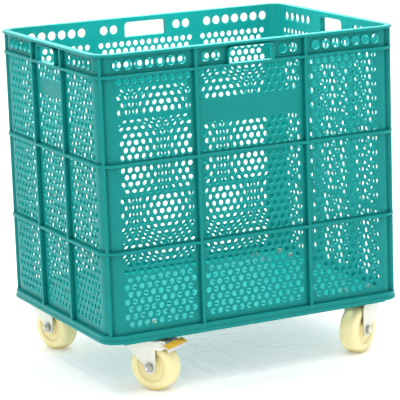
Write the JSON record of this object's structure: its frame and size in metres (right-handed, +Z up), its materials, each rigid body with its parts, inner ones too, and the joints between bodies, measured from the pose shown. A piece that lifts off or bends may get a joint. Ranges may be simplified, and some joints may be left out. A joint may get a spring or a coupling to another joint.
{
  "type": "wheeled perforated crate cart",
  "caption": "Tall perforated plastic crate with hand windows, rolling on swivel casters, with a foot brake on a front caster.",
  "frame": {"origin": "centre of the footprint, on the surface the wheels stand on", "axes": "+Z up, +X along the long sides to the right, front long side faces -Y"},
  "size_m": [0.85, 0.6974, 0.86],
  "materials": {
    "crate_plastic": "semi-gloss moulded polypropylene",
    "wheel_nylon": "natural cast nylon, satin",
    "zinc_sheet": "pale bright-zinc sheet, satin",
    "bolt_steel": "zinc-plated steel",
    "ball_steel": "polished bearing steel",
    "pedal_steel": "bright-zinc pressed sheet",
    "pedal_orange": "moulded orange plastic",
    "brake_rubber": "matt black rubber"
  },
  "bodies": {
    "root": {"front_wall": "crate_plastic", "back_wall": "crate_plastic", "left_wall": "crate_plastic", "right_wall": "crate_plastic", "front_collar": "crate_plastic", "back_collar": "crate_plastic", "left_collar": "crate_plastic", "right_collar": "crate_plastic", "front_grip": "crate_plastic", "back_grip": "crate_plastic", "left_grip": "crate_plastic", "right_grip": "crate_plastic", "corner_front_left": "crate_plastic", "corner_front_right": "crate_plastic", "corner_rear_left": "crate_plastic", "corner_rear_right": "crate_plastic", "floor_panel": "crate_plastic", "mounting_bolts": "bolt_steel", "mounting_nuts": "bolt_steel", "top_plate_fl": "zinc_sheet", "top_plate_fr": "zinc_sheet", "top_plate_rl": "zinc_sheet", "top_plate_rr": "zinc_sheet", "kingpin_fl": "bolt_steel", "kingpin_fr": "bolt_steel", "kingpin_rl": "bolt_steel", "kingpin_rr": "bolt_steel"},
    "swivel_fl": {"fork_fl": "zinc_sheet", "swivel_balls_fl": "ball_steel", "axle_sleeve_fl": "bolt_steel", "axle_bolt_fl": "bolt_steel", "axle_nut_fl": "bolt_steel", "brake_pivot": "bolt_steel", "brake_spring": "bolt_steel"},
    "wheel_fl": {"wheel_fl": "wheel_nylon"},
    "swivel_fr": {"fork_fr": "zinc_sheet", "swivel_balls_fr": "ball_steel", "axle_sleeve_fr": "bolt_steel", "axle_bolt_fr": "bolt_steel", "axle_nut_fr": "bolt_steel"},
    "wheel_fr": {"wheel_fr": "wheel_nylon"},
    "swivel_rl": {"fork_rl": "zinc_sheet", "swivel_balls_rl": "ball_steel", "axle_sleeve_rl": "bolt_steel", "axle_bolt_rl": "bolt_steel", "axle_nut_rl": "bolt_steel"},
    "wheel_rl": {"wheel_rl": "wheel_nylon"},
    "swivel_rr": {"fork_rr": "zinc_sheet", "swivel_balls_rr": "ball_steel", "axle_sleeve_rr": "bolt_steel", "axle_bolt_rr": "bolt_steel", "axle_nut_rr": "bolt_steel"},
    "wheel_rr": {"wheel_rr": "wheel_nylon"},
    "brake_pedal": {"brake_pedal": "pedal_steel", "pedal_cover": "pedal_orange", "brake_shoe": "brake_rubber"}
  },
  "joints": [
    {"name": "swivel_fl", "type": "hinge", "parent": "root", "child": "swivel_fl", "pos_m": [-0.29376, -0.24576, 0.14], "axis": [0, 0, 1], "continuous": true},
    {"name": "wheel_spin_fl", "type": "hinge", "parent": "swivel_fl", "child": "wheel_fl", "pos_m": [-0.27628, -0.27375, 0.0625], "axis": [0.848, 0.5299, 0], "continuous": true},
    {"name": "swivel_fr", "type": "hinge", "parent": "root", "child": "swivel_fr", "pos_m": [0.34576, -0.24576, 0.14], "axis": [0, 0, 1], "continuous": true},
    {"name": "wheel_spin_fr", "type": "hinge", "parent": "swivel_fr", "child": "wheel_fr", "pos_m": [0.31748, -0.26276, 0.0625], "axis": [0.515, -0.8572, 0], "continuous": true},
    {"name": "swivel_rl", "type": "hinge", "parent": "root", "child": "swivel_rl", "pos_m": [-0.34576, 0.24576, 0.14], "axis": [0, 0, 1], "continuous": true},
    {"name": "wheel_spin_rl", "type": "hinge", "parent": "swivel_rl", "child": "wheel_rl", "pos_m": [-0.33611, 0.21421, 0.0625], "axis": [0.9563, 0.2924, 0], "continuous": true},
    {"name": "swivel_rr", "type": "hinge", "parent": "root", "child": "swivel_rr", "pos_m": [0.34576, 0.24576, 0.14], "axis": [0, 0, 1], "continuous": true},
    {"name": "wheel_spin_rr", "type": "hinge", "parent": "swivel_rr", "child": "wheel_rr", "pos_m": [0.33778, 0.27778, 0.0625], "axis": [-0.9703, -0.2419, 0], "continuous": true},
    {"name": "brake_press", "type": "hinge", "parent": "swivel_fl", "child": "brake_pedal", "pos_m": [-0.25561, -0.30682, 0.124], "axis": [0.848, 0.5299, 0], "range_deg": [0, 22]}
  ]
}
